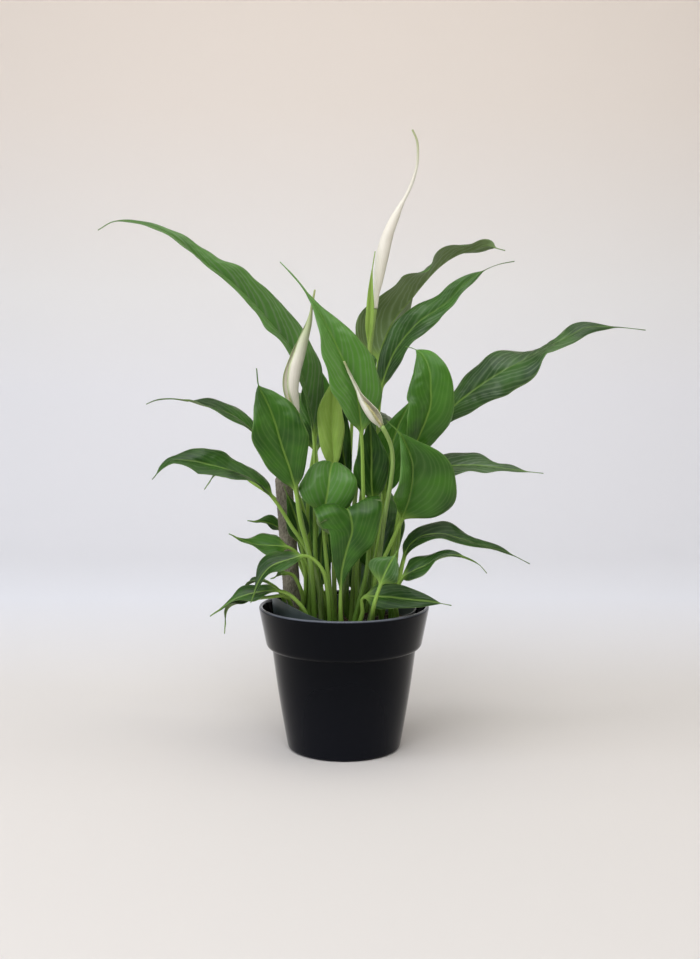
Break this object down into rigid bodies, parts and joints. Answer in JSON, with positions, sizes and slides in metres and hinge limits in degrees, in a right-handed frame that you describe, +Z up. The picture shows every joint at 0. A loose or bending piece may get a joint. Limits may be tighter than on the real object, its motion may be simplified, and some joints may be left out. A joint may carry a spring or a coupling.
{
  "type": "potted peace lily",
  "caption": "Upright clump of long-stalked lance-shaped leaves with slender white hooded flowers, in a thin nursery pot inside a round tapered cover pot with a wide collar.",
  "frame": {"origin": "centre of the cover pot's flat underside, on the surface that it stands on", "axes": "+Z up along the pot's axis; -Y is the front of the plant as pictured, +X to its right"},
  "size_m": [0.4754, 0.2646, 0.5444],
  "materials": {
    "pot_glaze": "high gloss black glaze",
    "nursery_plastic": "satin grey-green thin moulded plastic",
    "soil": "loose fibrous dark potting soil",
    "coir": "matt weathered coconut fibre",
    "leaf": "satin living leaf, paler midrib and stalk",
    "young_leaf": "satin young leaf tissue",
    "spathe": "soft matt white petal with a green tip",
    "spadix": "matt, fine bumps"
  },
  "bodies": {
    "root": {"cover_pot": "pot_glaze", "nursery_pot": "nursery_plastic", "soil": "soil", "support_pole": "coir", "leaf_upper_left": "leaf", "leaf_centre_front": "leaf", "leaf_top_back": "leaf", "leaf_right_upper": "leaf", "leaf_far_right": "leaf", "leaf_curled_right": "leaf", "leaf_front_left": "leaf", "leaf_left_upper": "leaf", "leaf_left_lower": "leaf", "leaf_behind_left": "leaf", "leaf_behind_pole": "leaf", "leaf_low_left": "leaf", "leaf_low_left_drooping": "leaf", "leaf_low_over_pole": "leaf", "leaf_low_left_outer": "leaf", "leaf_low_left_thin": "leaf", "leaf_low_left_hooked": "leaf", "leaf_folded_centre": "leaf", "leaf_front_fan": "leaf", "leaf_right_bright": "leaf", "leaf_pale_upright": "young_leaf", "leaf_tall_sheath": "young_leaf", "leaf_shaded_left": "leaf", "leaf_shaded_middle": "leaf", "leaf_dark_left": "leaf", "leaf_dark_behind": "leaf", "leaf_dark_middle": "leaf", "leaf_dark_right": "leaf", "leaf_right_thin": "leaf", "leaf_right_arching": "leaf", "leaf_right_hidden": "leaf", "leaf_right_low": "leaf", "leaf_lowest_right": "leaf", "leaf_small_upright": "leaf", "leaf_back_tall": "leaf", "leaf_back_high_left": "leaf", "leaf_back_high_right": "leaf", "leaf_back_middle_left": "leaf", "leaf_back_middle_right": "leaf", "leaf_back_low": "leaf", "flower_tall_stem": "young_leaf", "flower_tall_spathe": "spathe", "flower_tall_spadix": "spadix", "flower_left_stem": "young_leaf", "flower_left_spathe": "spathe", "flower_left_spadix": "spadix", "flower_front_stem": "young_leaf", "flower_front_spathe": "spathe", "flower_front_spadix": "spadix"}
  },
  "joints": []
}
